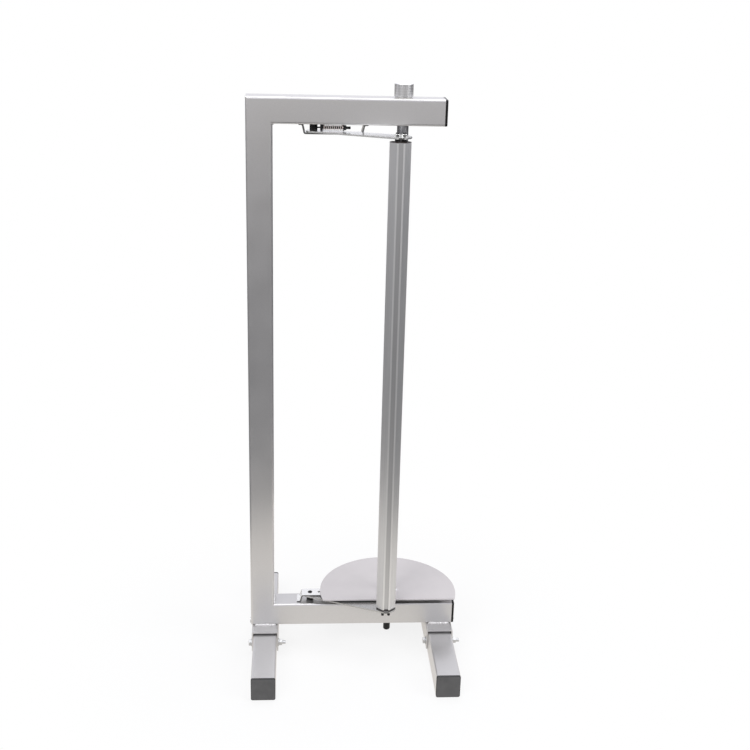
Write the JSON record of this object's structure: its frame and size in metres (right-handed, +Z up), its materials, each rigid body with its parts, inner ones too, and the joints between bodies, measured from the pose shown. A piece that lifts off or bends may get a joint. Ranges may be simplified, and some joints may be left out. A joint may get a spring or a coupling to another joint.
{
  "type": "film roll stand",
  "caption": "Floor stand for an upright packing film roll: welded square-tube C-frame on clamped feet, roll plate with lift-out spindle, and a sprung swinging press bar.",
  "frame": {"origin": "on the floor, under the middle of the stand's bounding box; Y is zero in the middle plane of the C-frame", "axes": "+Z up along the post, +X from the post towards the free ends of the arms, -Y towards the press bar"},
  "size_m": [0.4584, 0.44, 1.211],
  "materials": {
    "silver_paint": "satin silver-grey powder coat",
    "plate_paint": "satin light grey powder coat",
    "anodised_aluminium": "matt anodised extrusion",
    "turned_aluminium": "fine turned",
    "zinc_steel": "bright zinc plate",
    "dull_zinc": "dull zinc plate",
    "dark_steel": "black oxide",
    "spring_steel": "zinc plated wire",
    "ground_steel": "ground bar",
    "black_plastic": "moulded",
    "grey_plastic": "moulded",
    "white_nylon": "moulded"
  },
  "bodies": {
    "frame": {"post_tube": "silver_paint", "upper_arm_tube": "silver_paint", "lower_arm_tube": "silver_paint", "left_foot_sleeve": "silver_paint", "right_foot_sleeve": "silver_paint", "left_foot_tube": "silver_paint", "right_foot_tube": "silver_paint", "roll_plate": "plate_paint", "foot_bolts": "dull_zinc", "foot_washers": "dull_zinc", "foot_nuts": "dull_zinc", "pivot_nuts": "zinc_steel", "upper_hinge_strap": "zinc_steel", "lower_hinge_strap": "zinc_steel", "plate_screws": "zinc_steel", "upper_pivot_bush": "zinc_steel", "lower_pivot_bush": "zinc_steel", "plate_collar": "zinc_steel", "spring_tab": "dark_steel", "upper_pivot_bolt": "dark_steel", "lower_pivot_bolt": "dark_steel", "pull_wire": "dark_steel", "tension_spring": "spring_steel", "upper_arm_cap": "black_plastic", "lower_arm_cap": "black_plastic", "left_foot_front_cap": "grey_plastic", "left_foot_rear_cap": "grey_plastic", "right_foot_front_cap": "grey_plastic", "right_foot_rear_cap": "grey_plastic", "spindle_bush": "white_nylon"},
    "press_arm": {"upper_lever": "zinc_steel", "lower_lever": "zinc_steel", "upper_lever_hub": "black_plastic", "lower_lever_hub": "black_plastic", "press_bar": "anodised_aluminium", "bar_studs": "dark_steel", "bar_nuts": "zinc_steel", "bar_spacers": "dark_steel"},
    "spring_rod": {"spring_rod": "dark_steel", "spring_washer": "dark_steel", "spring_nut": "dark_steel"},
    "spindle": {"spindle_rod": "ground_steel", "spindle_tip": "black_plastic", "spindle_knob": "turned_aluminium", "knob_set_screw": "dark_steel"}
  },
  "joints": [
    {"name": "bar_swing", "type": "hinge", "parent": "frame", "child": "press_arm", "pos_m": [-0.09685, 0, 0.62], "axis": [0, 0, -1], "range_deg": [0, 60], "stiffness_Nm_per_rad": 0.13, "springref_deg": -61.88},
    {"name": "rod_slide", "type": "slide", "parent": "frame", "child": "spring_rod", "axis": [-1, 0, 0], "range_m": [0, 0.0098], "deforming": ["tension_spring", "pull_wire"]},
    {"name": "spindle_lift", "type": "slide", "parent": "frame", "child": "spindle", "axis": [0, 0, 1], "range_m": [0, 1.1]}
  ],
  "couplings": [
    {"joint": "rod_slide", "follows": "bar_swing", "m_per_rad": 0.0093}
  ]
}
